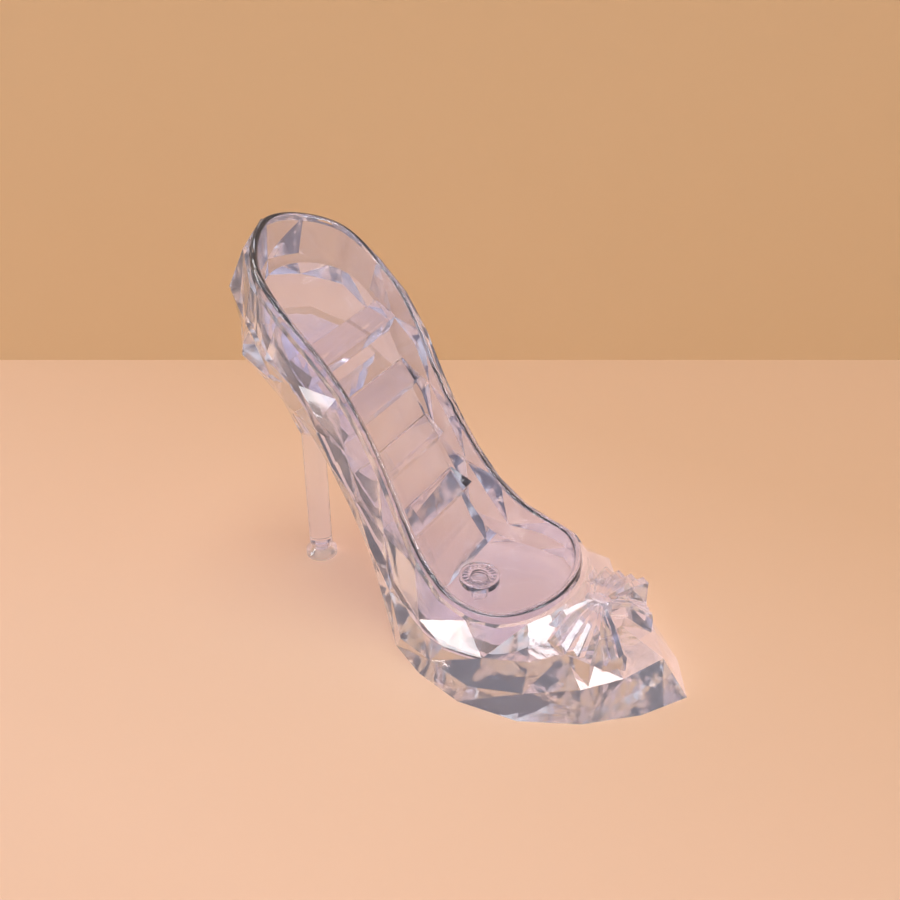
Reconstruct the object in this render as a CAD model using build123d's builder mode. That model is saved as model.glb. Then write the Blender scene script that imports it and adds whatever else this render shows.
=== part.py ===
from build123d import *
import math
import os

# A ring display stand shaped like a high-heeled slipper, in clear plastic. Sizes are in mm.
# The origin is on the ground, midway between the back of the heel and the tip of the toe.
# +X points to the toe, +Y to the wearer's left and +Z up.
# A station is a distance ahead of the heel pin's axis.

# Overall sizes
pin_to_toe = 100.0
heel_overhang = 14.2

# Rim of the foot opening, from its back to the middle of the throat: (station, half width, height)
rim_knots = [
    (-8.5, 0.0, 91.0),
    (-5.6, 9.5, 88.8),
    (1.0, 16.0, 84.5),
    (8.0, 17.6, 78.5),
    (15.0, 17.5, 71.8),
    (21.0, 16.5, 63.9),
    (26.0, 15.5, 55.0),
    (31.0, 15.5, 45.6),
    (36.0, 16.5, 36.6),
    (41.5, 17.9, 28.2),
    (48.0, 19.1, 22.2),
    (55.0, 19.4, 19.9),
    (61.2, 18.0, 19.5),
    (65.8, 13.8, 19.6),
    (68.4, 8.9, 19.7),
    (69.7, 4.4, 19.8),
    (70.0, 0.0, 19.8),
]

# Lower edge of the faceted shell, one corner below each rim knot: (station, half width, height).
# The first five lie on the sloping heel seat and the last seven on the ground.
seat_back_height = 61.5
seat_slope = 0.5
sole_knots = [
    (-11.5, 0.0, None),
    (-8.8, 7.8, None),
    (-3.5, 12.4, None),
    (2.5, 13.8, None),
    (7.6, 14.6, None),
    (12.8, 16.2, 48.6),
    (17.6, 16.6, 42.0),
    (22.2, 16.6, 33.4),
    (27.2, 16.8, 22.8),
    (31.0, 17.4, 10.8),
    (35.5, 19.4, 0.0),
    (45.0, 24.4, 0.0),
    (57.0, 27.4, 0.0),
    (71.0, 25.8, 0.0),
    (83.5, 19.4, 0.0),
    (93.5, 10.2, 0.0),
    (100.0, 0.0, 0.0),
]

# Depth of the keel under the waist, below each corner of the lower edge
keel_depths = {5: 1.6, 6: 2.6, 7: 3.0, 8: 2.8, 9: 2.0}

# Facets of the shell
rim_land = 1.3
rim_drop = 1.9
heel_bulge = 3.4
waist_bulge = 1.5
toe_bulge = 2.9
facet_crease = 0.8
upper_level = 0.36
lower_level = 0.70
waist_column = 8

# Ring tray
tray_wall = 1.6
tray_floor = 1.8
rim_round = 0.7
fit_gap = 0.3
floor_knots = [
    (-14.0, 80.5),
    (-2.0, 75.5),
    (4.4, 71.0),
    (9.4, 65.4),
    (13.6, 58.8),
    (18.2, 50.3),
    (23.2, 40.9),
    (28.0, 32.3),
    (33.0, 23.8),
    (37.4, 16.8),
    (41.2, 12.2),
    (45.0, 10.8),
    (50.0, 10.5),
    (58.0, 10.5),
    (68.0, 10.5),
    (80.0, 10.5),
]

# The tray narrows at its waist: half width square to the slope, by rim knot
waist_slope = 62.0
waist_widths = {2: 22.0, 3: 18.8, 4: 18.2, 5: 17.0, 6: 16.1, 7: 16.3, 8: 18.0, 9: 22.0}

# Bars between the ring slots
bar_count = 4
first_bar_distance = 26.5
bar_pitch = 14.6
bar_back = 1.0
bar_height = 3.8
bar_top = 5.2
bar_base = 7.6
bar_clearance = 0.3

# Outsole
outsole_thickness = 1.4

# Heel block, pin and foot
block_inset = 1.4
block_foot_height = 38.0
block_foot_radius = 3.7
block_turn = 38.0
pin_diameter = 5.7
pin_spigot_diameter = 3.6
pin_spigot_length = 7.0
spigot_clearance = 0.05
foot_diameter = 7.8
foot_neck_diameter = 5.0
foot_height = 3.6
foot_rim_height = 1.2
foot_neck_height = 2.4
foot_spigot_diameter = 3.0
foot_spigot_length = 2.2

# Round fastening plug in the forefoot of the tray
plug_station = 46.6
plug_diameter = 9.6
plug_height = 1.0
plug_ring_height = 0.5
plug_ring_width = 0.7
plug_flute_count = 20
plug_flute_width = 0.5
plug_stem_diameter = 4.0
plug_stem_length = 6.0
plug_bore = 4.6

# Bow on the vamp. A ribbon's ends are (distance from the knot's middle, width, height of its pleats).
knot_station = 77.0
knot_length = 6.4
knot_width = 4.8
knot_height = 19.2
knot_round = 1.6
loop_angle = 96.0
loop_ends = [(0.5, 3.0, 18.6), (8.0, 10.5, 18.4), (14.8, 14.6, 15.6)]
loop_pleats = 5
tail_angle = 46.0
tail_ends = [(0.5, 2.4, 18.2), (7.0, 3.8, 16.8), (12.5, 5.4, 13.0)]
tail_pleats = 3
pleat_depth = 1.3
bow_depth = 9.0

overall_length = pin_to_toe + heel_overhang
pin_x = heel_overhang - overall_length / 2
reach = overall_length + 40.0
top_height = rim_knots[0][2] + 20.0
fit_width = 40.0
end_run = 20.0
rim_end_slope = 0.75

os.makedirs("parts", exist_ok=True)


def at(station):
    """X of a station."""
    return pin_x + station


def along(points, station):
    """Height at a station of a line through (station, height) points."""
    for (s0, h0), (s1, h1) in zip(points, points[1:]):
        if station <= s1:
            return h0 + (h1 - h0) * (station - s0) / (s1 - s0)
    return points[-1][1]


def seat_height(station):
    """Height of the sloping heel seat at a station."""
    return seat_back_height - seat_slope * (station - sole_knots[0][0])


def floor_height(station):
    """Height of the tray's floor at a station."""
    return along(floor_knots, station)


def write(piece, name):
    """Label a finished piece and write it to its own file."""
    piece.part.label = name
    export_step(piece.part, f"parts/{name}.step")


def aside(points, distance):
    """Each point of an open line moved to the left of the line by distance."""
    padded = [points[0]] + points + [points[-1]]
    out = []
    for before, point, after in zip(padded, points, padded[2:]):
        run = Vector(*after) - Vector(*before)
        side = Vector(-run.Y, run.X).normalized()
        out.append((point[0] + side.X * distance, point[1] + side.Y * distance))
    return out


def rim_outline(distance):
    """Half the rim's outline in plan, moved outwards by distance, from its back to its front."""
    half = [(at(s), w) for s, w, h in rim_knots]
    whole = [(half[1][0], -half[1][1])] + half + [(half[-2][0], -half[-2][1])]
    return aside(whole, distance)[1:-1]


# Side views of the rim line and of the tray's floor
topline = [(at(s), h) for s, w, h in rim_knots]
floor_line = [(at(s), h) for s, h in floor_knots]


def plan_inside(distance):
    """Plan of what lies inside the rim's outline moved outwards by distance."""
    half = rim_outline(distance)
    with BuildSketch() as plan:
        with BuildLine():
            Spline(*half, *[(x, -y) for x, y in half[-2:0:-1]], periodic=True)
        make_face()
    return plan.sketch


def waist_plan(distance):
    """What lies between the tray's waists moved outwards by distance, seen square to the slope."""
    slope = math.radians(waist_slope)
    plane = Plane(
        origin=(0, 0, 0),
        x_dir=(math.cos(slope), 0, -math.sin(slope)),
        z_dir=(math.sin(slope), 0, math.cos(slope)),
    )
    waist = []
    for knot, width in waist_widths.items():
        x, z = topline[knot]
        waist.append((x * math.cos(slope) - z * math.sin(slope), width))
    left = aside(waist, distance)
    far = reach + top_height
    with BuildSketch(plane) as plan:
        with BuildLine():
            Spline(*left)
            Polyline(left[-1], (left[-1][0], fit_width), (far, fit_width))
            Polyline((far, fit_width), (far, -fit_width), (left[-1][0], -fit_width))
            Line((left[-1][0], -fit_width), (left[-1][0], -left[-1][1]))
            Spline(*[(u, -w) for u, w in left[::-1]])
            Polyline((left[0][0], -left[0][1]), (left[0][0], -fit_width), (-far, -fit_width))
            Polyline((-far, -fit_width), (-far, fit_width), (left[0][0], fit_width), left[0])
        make_face()
    return plan.sketch


def side_below_rim(drop):
    """Side view of what lies below the rim line lowered by drop."""
    line = aside(topline, -drop)
    back = (line[0][0] - end_run, line[0][1] + end_run * rim_end_slope)
    front = (line[-1][0] + end_run, line[-1][1])
    with BuildSketch(Plane.XZ) as side:
        with BuildLine():
            Spline(back, *line, front)
            Polyline(front, (front[0], -end_run), (back[0], -end_run), back)
        make_face()
    return side.sketch


def side_above_floor(drop):
    """Side view of what lies above the tray's floor lowered by drop."""
    line = aside(floor_line, -drop)
    with BuildSketch(Plane.XZ) as side:
        with BuildLine():
            Spline(*line)
            Polyline(line[-1], (line[-1][0], top_height), (line[0][0], top_height), line[0])
        make_face()
    return side.sketch


# Space for the rings, inside the tray's walls
with BuildPart() as hollow:
    extrude(plan_inside(-tray_wall), amount=top_height)
    extrude(waist_plan(-tray_wall), amount=top_height, both=True, mode=Mode.INTERSECT)
    extrude(side_above_floor(0), amount=fit_width, both=True, mode=Mode.INTERSECT)

# Ring tray: floor and walls in one piece, open at the top, with its rim rounded
with BuildPart() as ring_tray:
    extrude(plan_inside(0), amount=top_height)
    extrude(waist_plan(0), amount=top_height, both=True, mode=Mode.INTERSECT)
    extrude(side_below_rim(0), amount=fit_width, both=True, mode=Mode.INTERSECT)
    extrude(side_above_floor(tray_floor), amount=fit_width, both=True, mode=Mode.INTERSECT)
    add(hollow.part, mode=Mode.SUBTRACT)
    upward = ring_tray.faces().filter_by(lambda face: face.normal_at().Z > 0.2)
    rim_face = upward.sort_by(SortBy.AREA)[0]
    fillet(rim_face.edges(), radius=rim_round)
    with Locations((at(plug_station), 0, floor_height(plug_station))):
        Cylinder(plug_bore / 2, 4 * tray_floor, mode=Mode.SUBTRACT)
write(ring_tray, "ring_tray")

# Space for the tray in the shell
with BuildPart() as recess:
    extrude(plan_inside(fit_gap), amount=top_height)
    extrude(waist_plan(fit_gap), amount=top_height, both=True, mode=Mode.INTERSECT)
    extrude(side_above_floor(tray_floor + fit_gap), amount=fit_width, both=True, mode=Mode.INTERSECT)

# Facet corners of the shell's left side, level by level, from its back to its tip
column_count = len(rim_knots)
rim_corners = [
    Vector(x, y, knot[2] - rim_drop)
    for (x, y), knot in zip(rim_outline(fit_gap + rim_land), rim_knots)
]
sole_corners = [
    Vector(at(s), w, seat_height(s) if h is None else h)
    for s, w, h in sole_knots
]


def bulge(column):
    """How far the facets stand out between the rim and the lower edge in a column."""
    if column <= waist_column:
        share = column / waist_column
        return heel_bulge + (waist_bulge - heel_bulge) * share
    share = (column - waist_column) / (column_count - 1 - waist_column)
    return waist_bulge + (toe_bulge - waist_bulge) * share


def facet_corner(column, level, crease):
    """Corner of the facets in a column, at a share of the way down from the rim."""
    top = rim_corners[column]
    bottom = sole_corners[column]
    before = rim_corners[max(column - 1, 0)]
    after = rim_corners[min(column + 1, column_count - 1)]
    if column in (0, column_count - 1):
        before, after = Vector(0, -1, 0), Vector(0, 1, 0)
        if column:
            before, after = after, before
    outward = (top - bottom).cross(after - before).normalized()
    corner = top + (bottom - top) * level + outward * (bulge(column) + crease)
    return corner if 0 < column < column_count - 1 else Vector(corner.X, 0, corner.Z)


def crease_at(column):
    """Facets stand alternately prouder and flatter from column to column."""
    return facet_crease if column % 2 else -facet_crease


levels = [
    rim_corners,
    [facet_corner(i, upper_level, crease_at(i)) for i in range(column_count)],
    [facet_corner(i, lower_level, -crease_at(i)) for i in range(column_count)],
    sole_corners,
]


def right(corner):
    """The matching corner on the right side."""
    return Vector(corner.X, -corner.Y, corner.Z)


def facet(*corners):
    """Flat face through corners, leaving out any that coincide."""
    kept = [c for i, c in enumerate(corners) if (c - corners[i - 1]).length > 1e-6]
    return Face(Wire.make_polygon(kept))


def side_facets(upper, lower, lean):
    """Triangles between two levels on both sides, with diagonals that lean by turns."""
    faces = []
    for i in range(column_count - 1):
        a, b, c, d = upper[i], upper[i + 1], lower[i + 1], lower[i]
        halves = ((a, b, c), (a, c, d)) if (i + lean) % 2 else ((a, b, d), (b, c, d))
        for half in halves:
            faces.append(facet(*half))
            faces.append(facet(*[right(corner) for corner in half]))
    return faces


def cross_facets(level, depths):
    """Strips across the shell between matching corners of one level, lower along the middle."""
    middle = [Vector(c.X, 0, c.Z - depths.get(i, 0)) for i, c in enumerate(level)]
    faces = []
    for i in range(column_count - 1):
        a, b, c, d = level[i], level[i + 1], middle[i + 1], middle[i]
        if i in depths or i + 1 in depths:
            for half in ((a, b, c), (a, c, d)):
                faces.append(facet(*half))
                faces.append(facet(*[right(corner) for corner in half]))
        else:
            faces.append(facet(a, b, right(b), right(a)))
    return faces


shell_faces = cross_facets(levels[0], {}) + cross_facets(levels[-1], keel_depths)
for number, (upper, lower) in enumerate(zip(levels, levels[1:])):
    shell_faces += side_facets(upper, lower, number)

# The faceted form of the slipper, solid
with BuildPart() as faceted_form:
    add(Solid(Shell(shell_faces)))

# Faceted shell: heel counter, sides, vamp and toe, recessed for the tray
with BuildPart() as faceted_shell:
    add(faceted_form.part)
    split(bisect_by=Plane.XY.offset(outsole_thickness), keep=Keep.TOP)
    add(recess.part, mode=Mode.SUBTRACT)
    with Locations((at(plug_station), 0, floor_height(plug_station) - tray_floor)):
        Cylinder(
            plug_stem_diameter / 2 + spigot_clearance,
            plug_stem_length,
            align=(Align.CENTER, Align.CENTER, Align.MAX),
            mode=Mode.SUBTRACT,
        )
write(faceted_shell, "faceted_shell")

# Outsole: the layer that stands on the ground
with BuildPart() as outsole:
    add(faceted_form.part)
    split(bisect_by=Plane.XY.offset(outsole_thickness), keep=Keep.BOTTOM)
write(outsole, "outsole")


def bar_corners(number):
    """Side view of a bar: its top leans forward, and its foot reaches below the tray's floor."""
    start = first_bar_distance + number * bar_pitch
    back = floor_curve.position_at(start, position_mode=PositionMode.LENGTH)
    front = floor_curve.position_at(start + bar_base, position_mode=PositionMode.LENGTH)
    down = (front - back).normalized()
    out = Vector(-down.Y, down.X)
    return [
        back - out * tray_floor,
        back + out * bar_back,
        back + out * bar_height + down * bar_top,
        front,
        front - out * tray_floor,
    ]


# Bars across the tray, each between two ring slots
with BuildLine() as floor_path:
    floor_curve = Spline(*floor_line)
for number in range(bar_count):
    with BuildPart() as ring_bar:
        with BuildSketch(Plane.XZ):
            Polygon(*[(c.X, c.Y) for c in bar_corners(number)], align=None)
        extrude(amount=fit_width, both=True)
        extrude(plan_inside(-tray_wall - bar_clearance), amount=top_height, mode=Mode.INTERSECT)
        extrude(
            waist_plan(-tray_wall - bar_clearance),
            amount=top_height,
            both=True,
            mode=Mode.INTERSECT,
        )
        extrude(side_above_floor(0), amount=fit_width, both=True, mode=Mode.INTERSECT)
    write(ring_bar, f"ring_bar_{number + 1}")

# Plane of the heel seat, through the pin's axis
seat_plane = Plane(
    origin=(pin_x, 0, seat_height(0)),
    x_dir=(1, 0, -seat_slope),
    z_dir=(seat_slope, 0, 1),
)
seat_stretch = math.hypot(1, seat_slope)
seat_half = [(s * seat_stretch, w) for s, w, h in sole_knots if h is None]
block_top = [(x + block_inset * (x < 0) - block_inset * (x > 0), w) for x, w in seat_half]
block_top = [(x, max(w - block_inset, 0)) for x, w in block_top]
block_angles = [180 - block_turn * i for i in range(len(block_top))]
block_foot = [
    (block_foot_radius * math.cos(math.radians(a)), block_foot_radius * math.sin(math.radians(a)))
    for a in block_angles
]

# Heel block: tapers from the heel seat to the pin, and is bored for the pin's upper spigot
with BuildPart() as heel_block:
    with BuildSketch(seat_plane):
        Polygon(*block_top, *[(x, -y) for x, y in block_top[:0:-1]], align=None)
    with BuildSketch(Plane.XY.offset(block_foot_height)):
        Polygon(
            *[(pin_x + x, y) for x, y in block_foot],
            *[(pin_x + x, -y) for x, y in block_foot[:0:-1]],
            align=None,
        )
    loft(ruled=True)
    with Locations((pin_x, 0, block_foot_height)):
        Cylinder(
            pin_spigot_diameter / 2 + spigot_clearance,
            pin_spigot_length,
            align=(Align.CENTER, Align.CENTER, Align.MIN),
            mode=Mode.SUBTRACT,
        )
write(heel_block, "heel_block")

# Heel pin: a round rod with a spigot at each end
with BuildPart() as heel_pin:
    with BuildSketch(Plane.XY.offset(foot_height)):
        with Locations((pin_x, 0)):
            Circle(pin_diameter / 2)
    extrude(amount=block_foot_height - foot_height)
    with BuildSketch(Plane.XY.offset(block_foot_height)):
        with Locations((pin_x, 0)):
            Circle(pin_spigot_diameter / 2)
    extrude(amount=pin_spigot_length - fit_gap)
    with BuildSketch(Plane.XY.offset(foot_height)):
        with Locations((pin_x, 0)):
            Circle(foot_spigot_diameter / 2)
    extrude(amount=fit_gap - foot_spigot_length)
write(heel_pin, "heel_pin")

# Heel foot: a flared disc under a narrow neck, bored for the pin's lower spigot
with BuildPart() as heel_foot:
    with BuildSketch(Plane.XZ):
        with BuildLine():
            Polyline(
                (pin_x, 0),
                (pin_x + foot_diameter / 2, 0),
                (pin_x + foot_diameter / 2, foot_rim_height),
                (pin_x + foot_neck_diameter / 2, foot_neck_height),
                (pin_x + foot_neck_diameter / 2, foot_height),
                (pin_x, foot_height),
                close=True,
            )
        make_face()
    revolve(axis=Axis((pin_x, 0, 0), (0, 0, 1)))
    with Locations((pin_x, 0, foot_height)):
        Cylinder(
            foot_spigot_diameter / 2 + spigot_clearance,
            foot_spigot_length,
            align=(Align.CENTER, Align.CENTER, Align.MAX),
            mode=Mode.SUBTRACT,
        )
write(heel_foot, "heel_foot")

# Fastening plug: a ribbed round head on the tray's floor, and a stem down into the shell
plug_x = at(plug_station)
plug_top = floor_height(plug_station) + plug_height
with BuildPart() as tray_plug:
    with BuildSketch(Plane.XY.offset(floor_height(plug_station) - tray_floor)):
        with Locations((plug_x, 0)):
            Circle(plug_diameter / 2)
    extrude(amount=tray_floor + plug_height)
    with BuildSketch(Plane.XY.offset(plug_top)):
        with Locations((plug_x, 0)):
            Circle(plug_diameter / 2)
            Circle(plug_diameter / 2 - plug_ring_width, mode=Mode.SUBTRACT)
            Circle(plug_diameter / 4 + plug_ring_width / 2)
            Circle(plug_diameter / 4 - plug_ring_width / 2, mode=Mode.SUBTRACT)
        with Locations((plug_x, 0)):
            with PolarLocations(plug_diameter * 3 / 8, plug_flute_count):
                Rectangle(plug_diameter / 4, plug_flute_width)
    extrude(amount=plug_ring_height)
    extrude(side_above_floor(0), amount=fit_width, both=True, mode=Mode.INTERSECT)
    with Locations((plug_x, 0, plug_top)):
        Cylinder(
            plug_stem_diameter / 2,
            plug_height + tray_floor + plug_stem_length - fit_gap,
            align=(Align.CENTER, Align.CENTER, Align.MAX),
        )
write(tray_plug, "tray_plug")

# Knot of the bow, seated on the vamp
with BuildPart() as bow_knot:
    with BuildSketch(Plane.XY.offset(knot_height - bow_depth)):
        with Locations((at(knot_station), 0)):
            Ellipse(knot_length / 2, knot_width / 2)
    extrude(amount=bow_depth)
    fillet(bow_knot.edges().group_by(Axis.Z)[-1], radius=knot_round)
    add(faceted_form.part, mode=Mode.SUBTRACT)
write(bow_knot, "bow_knot")


def pleats(width, count, depth):
    """Outline of a pleated ribbon's end: zigzag on top and flat below, around its top middle."""
    step = width / (2 * count)
    top = [(-width / 2 + step * i, 0 if i % 2 else -depth) for i in range(2 * count + 1)]
    return [(-width / 2, -bow_depth), *top, (width / 2, -bow_depth)]


def ribbon(turn, ends, count):
    """Pleated ribbon that leaves the knot at an angle, through (distance, width, height) ends."""
    heading = Vector(math.cos(math.radians(turn)), math.sin(math.radians(turn)), 0)
    sections = []
    for distance, width, height in ends:
        centre = Vector(at(knot_station), 0, height) + heading * distance
        with BuildSketch(Plane(centre, x_dir=(-heading.Y, heading.X, 0), z_dir=heading)) as section:
            Polygon(*pleats(width, count, pleat_depth * width / ends[-1][1]), align=None)
        sections.append(section.sketch)
    return sections


for side, name in ((1, "left"), (-1, "right")):
    with BuildPart() as bow_loop:
        loft(ribbon(side * loop_angle, loop_ends, loop_pleats), ruled=True)
        add(faceted_form.part, mode=Mode.SUBTRACT)
        add(bow_knot.part, mode=Mode.SUBTRACT)
    write(bow_loop, f"bow_loop_{name}")
    with BuildPart() as bow_tail:
        loft(ribbon(side * tail_angle, tail_ends, tail_pleats), ruled=True)
        add(faceted_form.part, mode=Mode.SUBTRACT)
        add(bow_knot.part, mode=Mode.SUBTRACT)
        add(bow_loop.part, mode=Mode.SUBTRACT)
    write(bow_tail, f"bow_tail_{name}")
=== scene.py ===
import math

import bmesh
import bpy
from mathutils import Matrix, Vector
from mathutils.bvhtree import BVHTree


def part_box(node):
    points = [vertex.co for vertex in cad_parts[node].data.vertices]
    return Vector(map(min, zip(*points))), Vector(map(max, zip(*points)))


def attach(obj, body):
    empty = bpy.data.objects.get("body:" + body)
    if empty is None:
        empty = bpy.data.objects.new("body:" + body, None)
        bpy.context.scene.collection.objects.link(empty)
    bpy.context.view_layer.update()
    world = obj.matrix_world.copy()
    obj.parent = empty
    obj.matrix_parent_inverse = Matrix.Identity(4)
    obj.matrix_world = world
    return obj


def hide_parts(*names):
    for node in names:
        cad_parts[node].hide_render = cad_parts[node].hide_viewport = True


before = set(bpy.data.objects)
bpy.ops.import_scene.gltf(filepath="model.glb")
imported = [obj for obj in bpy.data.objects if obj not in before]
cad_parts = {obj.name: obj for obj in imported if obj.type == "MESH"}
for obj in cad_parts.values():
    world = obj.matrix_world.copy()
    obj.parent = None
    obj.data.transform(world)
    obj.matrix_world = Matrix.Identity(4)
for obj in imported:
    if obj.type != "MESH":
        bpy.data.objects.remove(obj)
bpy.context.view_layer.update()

# A ring display stand shaped like a high-heeled slipper, in clear moulded plastic.
# Everything is in metres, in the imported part's own frame.
MM = 0.001

# Camera: where it stands, how far it looks down and round in degrees, its lens and its range
CAMERA_PLACE = (110.6 * MM, -190.3 * MM, 194.0 * MM)
CAMERA_DOWN = 33.87
CAMERA_ROUND = 31.14
CAMERA_LENS = 48.0
CAMERA_SENSOR = 36.0
CAMERA_NEAR = 0.01
CAMERA_FAR = 20

# How often light may bend or bounce in the plastic, and pass straight through it
LIGHT_BOUNCES = 24
STRAIGHT_PASSES = 32

# Floor and backdrop. The floor lies just below the sole, so that their faces never coincide.
FOLD_DISTANCE = 342 * MM
FLOOR_SIZE = 6.0
FLOOR_DROP = 0.12 * MM
# The floor darkens towards the backdrop over the fade. This is painted shade where less light
# falls, not a change in the paper.
FLOOR_COLOUR = (0.845, 0.585, 0.43, 1)
FLOOR_FAR_PAINTED_SHADE = (0.71, 0.468, 0.296, 1)
FLOOR_SHADE_FADE = 0.09
WALL_HEIGHT = 2.4
WALL_COLOUR = (0.745, 0.50, 0.27, 1)
WALL_FADE = 1.0

# Paper: a noise's scale and detail, how far clouds shift the colour, the tooth, and the gloss
PAPER_CLOUDS = (3.0, 2.0)
PAPER_TOOTH = (900.0, 3.0)
CLOUD_SHIFT = 0.1
TOOTH_STRENGTH = 0.15
TOOTH_DEPTH = 0.1 * MM
PAPER_ROUGHNESS = 0.75
PAPER_SPECULAR = 0.25

# Clear plastic: each kind's name, its clarity, and the scale and depth of its flow waves.
# Clarity is the share of light that goes on through it, and the rest makes a haze.
SHELL_PLASTIC = ("clear_shell_plastic", 0.94, 85.0, 0.45 * MM)
TRAY_PLASTIC = ("clear_tray_plastic", 0.985, 40.0, 0.12 * MM)
# Its tint wanders between these two
CLEAR = (0.955, 0.955, 0.995, 1)
LILAC = (0.875, 0.875, 0.985, 1)
PLASTIC_IOR = 1.45
# Share of the lamps' light that it lets fall on what lies behind it
THROUGH_LIGHT = (0.66, 0.65, 0.71, 1)

# Noises in the plastic: how much finer than its flow waves, detail, distortion
FLOW_WAVES = (1.0, 2.0, 0.6)
TINT_CLOUDS = (0.6, 1.0, 0.0)
HANDLING_MARKS = (14.0, 4.0, 1.2)
MARK_CONTRAST = 3.0
MARK_DULLNESS = 0.05
MARK_HEIGHT = 0.02
BEST_GLOSS = 0.004
WAVE_STRENGTH = 0.5

# Mesh work: which corners are one, which faces are too thin to keep, up to what angle an edge
# is shaded round, and how near to the tray's moulding a face counts as part of its recess
CORNER_GAP = 0.002 * MM
THIN_FACE = 0.001 * MM
SMOOTH_ANGLE = math.radians(32)
FACET_ANGLE = math.radians(1.0)
RECESS_REACH = 0.6 * MM

# Rosette on the fastening plug's head, as named inputs of its node tree: (name, kind, value)
ROSETTE_SIZES = [
    ("Ribs", "NodeSocketInt", 20),
    ("Rib Circle", "NodeSocketFloat", 3.42 * MM),
    ("Rib Half Length", "NodeSocketFloat", 0.62 * MM),
    ("Rib Half Width", "NodeSocketFloat", 0.28 * MM),
    ("Rib Half Height", "NodeSocketFloat", 0.55 * MM),
    ("Outer Ring", "NodeSocketFloat", 4.42 * MM),
    ("Inner Ring", "NodeSocketFloat", 2.4 * MM),
    ("Ring Thickness", "NodeSocketFloat", 0.36 * MM),
]
ROSETTE_SINK = 0.3 * MM
RIB_FACES = {"Segments": 12, "Rings": 8}
RING_STEPS = 72
BEAD_STEPS = 12

# Sky: white from the horizon down, greyer overhead
SKY_STOPS = [(0.0, (1.0, 0.985, 1.0, 1)), (1.0, (0.66, 0.66, 0.70, 1))]
SKY_STRENGTH = 0.84

# Lamps, which all face one point of the stand
LAMP_TARGET = (0, 0, 0.04)
SOFTBOXES = [
    # name, place, width, height, power, colour, whether it also lights matt surfaces
    ("top_softbox", (-0.05, 0.0, 0.9), 0.5, 0.5, 4.4, (1.0, 0.99, 0.98), True),
    ("left_card", (-0.42, -0.30, 0.34), 0.12, 0.42, 2.4, (1.0, 1.0, 1.0), False),
    ("low_left_card", (-0.50, -0.42, 0.10), 0.20, 0.14, 1.2, (1.0, 1.0, 1.0), False),
    ("right_card", (0.50, 0.06, 0.36), 0.12, 0.42, 2.4, (0.98, 0.98, 1.0), False),
    ("front_card", (0.12, -0.50, 0.42), 0.45, 0.10, 2.0, (1.0, 1.0, 1.0), False),
    ("low_card", (-0.10, -0.55, 0.12), 0.30, 0.08, 1.0, (0.98, 0.98, 1.0), False),
    ("back_card", (-0.10, 0.08, 0.42), 0.30, 0.08, 0.9, (1.0, 1.0, 1.0), False),
]

# Sockets of the colour mix by number, because several there share a name
MIX_FACTOR, MIX_FIRST, MIX_SECOND, MIX_RESULT = 0, 6, 7, 2


class Wire:
    """A node's output, so that shader maths reads as expressions."""

    def __init__(self, recipe, socket):
        self.recipe = recipe
        self.socket = socket

    def __add__(self, other):
        return self.recipe.maths("ADD", self, other)

    def __sub__(self, other):
        return self.recipe.maths("SUBTRACT", self, other)

    def __rsub__(self, other):
        return self.recipe.maths("SUBTRACT", other, self)

    def __mul__(self, other):
        return self.recipe.maths("MULTIPLY", self, other)

    def __pow__(self, other):
        return self.recipe.maths("POWER", self, other)

    __radd__ = __add__
    __rmul__ = __mul__


class Recipe:
    """A node tree, and the one way to add a node to it."""

    def __init__(self, tree):
        self.tree = tree

    def maths(self, operation, first, second):
        return self.node("ShaderNodeMath", {"operation": operation}, {0: first, 1: second})

    def node(self, kind, settings=None, sockets=None, out=0):
        made = self.tree.nodes.new(kind)
        for name, value in (settings or {}).items():
            if name == "stops":
                for stop, (place, colour) in zip(made.color_ramp.elements, value):
                    stop.position = place
                    stop.color = colour
            else:
                setattr(made, name, value)
        for name, value in (sockets or {}).items():
            for part in value if isinstance(value, list) else [value]:
                if isinstance(part, Wire):
                    self.tree.links.new(part.socket, made.inputs[name])
                else:
                    made.inputs[name].default_value = part
        return Wire(self, made.outputs[out]) if made.outputs else None


class Finish(Recipe):
    """A material or a world."""

    def __init__(self, owner, output):
        owner.use_nodes = True
        owner.node_tree.nodes.clear()
        super().__init__(owner.node_tree)
        self.owner = owner
        self.output = output

    def mix(self, factor, first, second):
        """A colour between two, by a factor."""
        return self.node(
            "ShaderNodeMix",
            {"data_type": "RGBA"},
            {MIX_FACTOR: factor, MIX_FIRST: first, MIX_SECOND: second},
            MIX_RESULT,
        )

    def blend(self, factor, first, second):
        """A shader between two, by a factor."""
        return self.node("ShaderNodeMixShader", {}, {0: factor, 1: first, 2: second})

    def noise(self, place, scale, detail, distortion=0.0):
        return self.node(
            "ShaderNodeTexNoise",
            {},
            {"Vector": place, "Scale": scale, "Detail": detail, "Distortion": distortion},
        )

    def close(self, shader):
        """Joins the last shader to the output."""
        self.node(self.output, {}, {"Surface": shader})
        return self.owner


def material(name):
    return Finish(bpy.data.materials.new(name), "ShaderNodeOutputMaterial")


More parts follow.
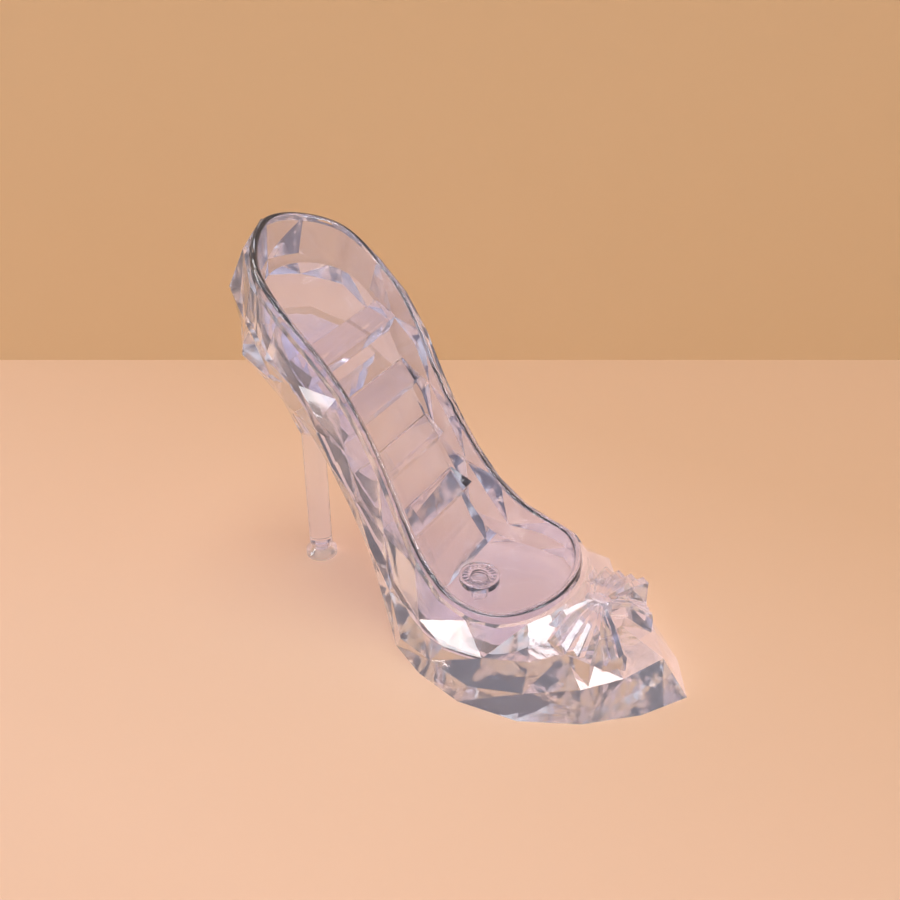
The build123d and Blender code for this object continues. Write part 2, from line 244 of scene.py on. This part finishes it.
def clear_plastic(name, clarity, wave_scale, wave_depth):
    """Moulded clear plastic: faint tint, slow flow waves, and handling marks in its gloss."""
    finish = material(name)
    place = finish.node("ShaderNodeTexCoord", out="Object")
    flow, cloud, marks = [
        finish.noise(place, wave_scale * finer, detail, distortion)
        for finer, detail, distortion in (FLOW_WAVES, TINT_CLOUDS, HANDLING_MARKS)
    ]
    colour = finish.mix(cloud, CLEAR, LILAC)
    roughness = (marks ** MARK_CONTRAST) * MARK_DULLNESS + BEST_GLOSS
    relief = flow + marks * MARK_HEIGHT
    bump = finish.node(
        "ShaderNodeBump",
        {},
        {"Strength": WAVE_STRENGTH, "Distance": wave_depth, "Height": relief},
    )
    plastic = finish.node(
        "ShaderNodeBsdfPrincipled",
        {},
        {
            "Base Color": colour,
            "Roughness": roughness,
            "Normal": bump,
            "IOR": PLASTIC_IOR,
            "Transmission Weight": clarity,
        },
    )
    shadow = finish.node("ShaderNodeLightPath", out="Is Shadow Ray")
    lit_through = finish.node("ShaderNodeBsdfTransparent", {}, {"Color": THROUGH_LIGHT})
    return finish.close(finish.blend(shadow, plastic, lit_through))


def backdrop_paper(name, near, far, fade, one_sided):
    """Matt paper with a faint tooth, whose colour changes from near to far over a fade. On the
    floor the darker far colour is painted shade.
    """
    finish = material(name)
    place = finish.node("ShaderNodeTexCoord", out="Object")
    cloud = finish.noise(place, *PAPER_CLOUDS)
    tooth = finish.noise(place, *PAPER_TOOTH)
    depth = finish.node("ShaderNodeSeparateXYZ", {}, {"Vector": place}, "Y")
    share = finish.node(
        "ShaderNodeMapRange",
        {"clamp": True},
        {"Value": depth, "From Min": -fade, "From Max": fade, "To Min": 0.0, "To Max": 1.0},
    )
    # Near to far colour with random clouds. On the floor this is painted shade, darker towards
    # the backdrop.
    colour = finish.mix(share + cloud * CLOUD_SHIFT - CLOUD_SHIFT / 2, near, far)
    bump = finish.node(
        "ShaderNodeBump",
        {},
        {"Strength": TOOTH_STRENGTH, "Distance": TOOTH_DEPTH, "Height": tooth},
    )
    paper = finish.node(
        "ShaderNodeBsdfPrincipled",
        {},
        {
            "Base Color": colour,
            "Roughness": PAPER_ROUGHNESS,
            "Specular IOR Level": PAPER_SPECULAR,
            "Normal": bump,
        },
    )
    if one_sided:
        behind = finish.node("ShaderNodeNewGeometry", out="Backfacing")
        paper = finish.blend(behind, paper, finish.node("ShaderNodeBsdfTransparent"))
    return finish.close(paper)


def shown(name, data):
    """A new object in the scene."""
    item = bpy.data.objects.new(name, data)
    bpy.context.scene.collection.objects.link(item)
    return item


def merged_copy(name):
    """A copy of a CAD node's mesh with its corners joined."""
    piece = shown(name + "_copy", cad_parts[name].data.copy())
    mesh = bmesh.new()
    mesh.from_mesh(piece.data)
    bmesh.ops.remove_doubles(mesh, verts=mesh.verts, dist=CORNER_GAP)
    mesh.to_mesh(piece.data)
    mesh.free()
    return piece


def settled(piece):
    """Turns a piece's modifiers into its plain mesh."""
    bpy.context.view_layer.update()
    graph = bpy.context.evaluated_depsgraph_get()
    done = bpy.data.meshes.new_from_object(piece.evaluated_get(graph))
    piece.modifiers.clear()
    old = piece.data
    piece.data = done
    bpy.data.meshes.remove(old)
    return piece


def moulded_together(name, nodes, extra=()):
    """One clear moulding from CAD nodes that touch, with no faces left between them."""
    whole, *others = [merged_copy(node) for node in nodes] + list(extra)
    for part in others:
        join = whole.modifiers.new("join", "BOOLEAN")
        join.operation = "UNION"
        join.solver = "MANIFOLD"
        join.object = part
        settled(whole)
        bpy.data.objects.remove(part)
    whole.name = name
    whole.data.name = name
    return whole


def crease(piece, smooth_near=None):
    """Shades curves round and leaves the rest in flat facets.

    Where another piece is given, only the faces that lie on it are curves. Otherwise all are.
    """
    neighbour = None
    if smooth_near:
        neighbour = BVHTree.FromPolygons(
            [corner.co for corner in smooth_near.data.vertices],
            [face.vertices for face in smooth_near.data.polygons],
        )
    mesh = bmesh.new()
    mesh.from_mesh(piece.data)
    bmesh.ops.dissolve_degenerate(mesh, edges=mesh.edges, dist=THIN_FACE)
    facets = set()
    for face in mesh.faces:
        face.smooth = True
        if neighbour:
            found = neighbour.find_nearest(face.calc_center_median(), RECESS_REACH)
            if found[0] is None:
                facets.add(face)
    for edge in mesh.edges:
        if len(edge.link_faces) != 2:
            edge.smooth = False
            continue
        flat = any(face in facets for face in edge.link_faces)
        edge.smooth = edge.calc_face_angle(0.0) < (FACET_ANGLE if flat else SMOOTH_ANGLE)
    mesh.to_mesh(piece.data)
    mesh.free()


def dress(piece, finish, slot, *nodes):
    """Gives a finished piece its material, and puts it in the place of CAD nodes."""
    piece.data.materials.clear()
    piece.data.materials.append(finish)
    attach(piece, "root")
    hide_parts(*nodes)


def rosette(name, finish, centre):
    """Rounded ribs round a circle, between two rounded rings."""
    tree = bpy.data.node_groups.new(name, "GeometryNodeTree")
    tree.interface.new_socket("Geometry", in_out="OUTPUT", socket_type="NodeSocketGeometry")
    values = {}
    for label, kind, value in ROSETTE_SIZES:
        socket = tree.interface.new_socket(label, in_out="INPUT", socket_type=kind)
        values[socket.identifier] = value
    recipe = Recipe(tree)
    given = tree.nodes.new("NodeGroupInput")
    size = {row[0]: Wire(recipe, given.outputs[row[0]]) for row in ROSETTE_SIZES}
    circle = recipe.node(
        "GeometryNodeMeshCircle", {}, {"Vertices": size["Ribs"], "Radius": size["Rib Circle"]}
    )
    rib = recipe.node("GeometryNodeMeshUVSphere", {}, {**RIB_FACES, "Radius": 1.0})
    step = recipe.maths("DIVIDE", 2 * math.pi, size["Ribs"])
    angle = recipe.node("GeometryNodeInputIndex") * step
    turns = recipe.node("ShaderNodeCombineXYZ", {}, {"Z": angle})
    turned = recipe.node("FunctionNodeEulerToRotation", {}, {"Euler": turns})
    scale = recipe.node(
        "ShaderNodeCombineXYZ",
        {},
        {"X": size["Rib Half Length"], "Y": size["Rib Half Width"], "Z": size["Rib Half Height"]},
    )
    ribs = recipe.node(
        "GeometryNodeInstanceOnPoints",
        {},
        {"Points": circle, "Instance": rib, "Rotation": turned, "Scale": scale},
    )
    bead = recipe.node(
        "GeometryNodeCurvePrimitiveCircle",
        {},
        {"Resolution": BEAD_STEPS, "Radius": size["Ring Thickness"]},
    )
    rings = []
    for label in ("Outer Ring", "Inner Ring"):
        path = recipe.node(
            "GeometryNodeCurvePrimitiveCircle",
            {},
            {"Resolution": RING_STEPS, "Radius": size[label]},
        )
        rings.append(
            recipe.node("GeometryNodeCurveToMesh", {}, {"Curve": path, "Profile Curve": bead})
        )
    joined = recipe.node("GeometryNodeJoinGeometry", {}, {"Geometry": [ribs, *rings]})
    placed = recipe.node(
        "GeometryNodeTransform", {}, {"Geometry": joined, "Translation": centre}
    )
    real = recipe.node("GeometryNodeRealizeInstances", {}, {"Geometry": placed})
    clad = recipe.node("GeometryNodeSetMaterial", {}, {"Geometry": real, "Material": finish})
    recipe.node("NodeGroupOutput", {}, {"Geometry": clad})
    piece = shown(name, bpy.data.meshes.new(name))
    grown = piece.modifiers.new("rosette", "NODES")
    grown.node_group = tree
    for identifier, value in values.items():
        grown[identifier] = value
    return settled(piece)


def flat_sheet(name, corners, finish):
    """A floor or a wall of paper from its corners."""
    mesh = bpy.data.meshes.new(name)
    mesh.from_pydata(corners, [], [range(len(corners))])
    mesh.materials.append(finish)
    sheet = shown(name, mesh)


def softbox(name, place, width, height, power, colour, lights_matt):
    """A lit card that the plastic mirrors, and that isn't seen through it."""
    lamp = bpy.data.lights.new(name, "AREA")
    lamp.shape = "RECTANGLE"
    lamp.size = width
    lamp.size_y = height
    lamp.energy = power
    lamp.color = colour
    box = shown(name, lamp)
    box.location = place
    box.visible_diffuse = lights_matt
    box.visible_transmission = False
    gaze = Vector(LAMP_TARGET) - Vector(place)
    box.rotation_euler = gaze.to_track_quat("-Z", "Y").to_euler()


# The two mouldings: the tray with its bars and plug, and the slipper round it
shell_plastic = clear_plastic(*SHELL_PLASTIC)
tray_plastic = clear_plastic(*TRAY_PLASTIC)
plug_low, plug_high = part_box("tray_plug")
plug_centre = (plug_low + plug_high) / 2
rosette_place = (plug_centre.x, 0, plug_high.z - ROSETTE_SINK)
crowns = rosette("plug_rosette", tray_plastic, rosette_place)
bars = [f"ring_bar_{i}" for i in range(1, 5)]
tray_nodes = ["ring_tray", *bars, "tray_plug"]
tray = moulded_together("tray_with_bars", tray_nodes, [crowns])
crease(tray)
bow = ["bow_knot", "bow_loop_left", "bow_loop_right", "bow_tail_left", "bow_tail_right"]
shell_nodes = ["faceted_shell", "outsole", "heel_block", "heel_pin", "heel_foot", *bow]
shell = moulded_together("slipper_moulding", shell_nodes)
crease(shell, smooth_near=tray)
dress(tray, tray_plastic, "clear_tray", *tray_nodes)
dress(shell, shell_plastic, "clear_shell", *shell_nodes)

# Floor and backdrop, square to the camera, with a fold between them
turn = math.radians(CAMERA_ROUND)
heading = Vector((-math.sin(turn), math.cos(turn), 0))
aside = Vector((math.cos(turn), math.sin(turn), 0))
fold = Vector((CAMERA_PLACE[0], CAMERA_PLACE[1], -FLOOR_DROP)) + heading * FOLD_DISTANCE
half = FLOOR_SIZE / 2
lift = Vector((0, 0, WALL_HEIGHT))
left, right = fold - aside * half, fold + aside * half
# The floor's far colour is painted shade, darker towards the backdrop. The wall is one even
# colour.
floor_paper = backdrop_paper("floor_paper", FLOOR_COLOUR, FLOOR_FAR_PAINTED_SHADE, FLOOR_SHADE_FADE, False)
wall_paper = backdrop_paper("wall_paper", WALL_COLOUR, WALL_COLOUR, WALL_FADE, True)
flat_sheet(
    "floor",
    [
        left - heading * FLOOR_SIZE,
        right - heading * FLOOR_SIZE,
        right + heading * half,
        left + heading * half,
    ],
    floor_paper,
)
flat_sheet("backdrop", [left, right, right + lift, left + lift], wall_paper)

for card in SOFTBOXES:
    softbox(*card)

scene = bpy.context.scene
scene.world = bpy.data.worlds.new("studio")
air = Finish(scene.world, "ShaderNodeOutputWorld")
direction = air.node("ShaderNodeTexCoord", out="Generated")
height = air.node("ShaderNodeSeparateXYZ", {}, {"Vector": direction}, "Z")
sky = air.node("ShaderNodeValToRGB", {"stops": SKY_STOPS}, {0: height})
air.close(air.node("ShaderNodeBackground", {}, {"Color": sky, "Strength": SKY_STRENGTH}))

view = bpy.data.cameras.new("camera")
view.lens = CAMERA_LENS
view.sensor_width = CAMERA_SENSOR
view.clip_start = CAMERA_NEAR
view.clip_end = CAMERA_FAR
camera = shown("camera", view)
camera.location = CAMERA_PLACE
camera.rotation_euler = (math.radians(90 - CAMERA_DOWN), 0, turn)
bpy.context.scene.camera = camera
scene.cycles.max_bounces = LIGHT_BOUNCES
scene.cycles.transmission_bounces = LIGHT_BOUNCES
scene.cycles.transparent_max_bounces = STRAIGHT_PASSES
bpy.context.scene.view_settings.view_transform = "Standard"
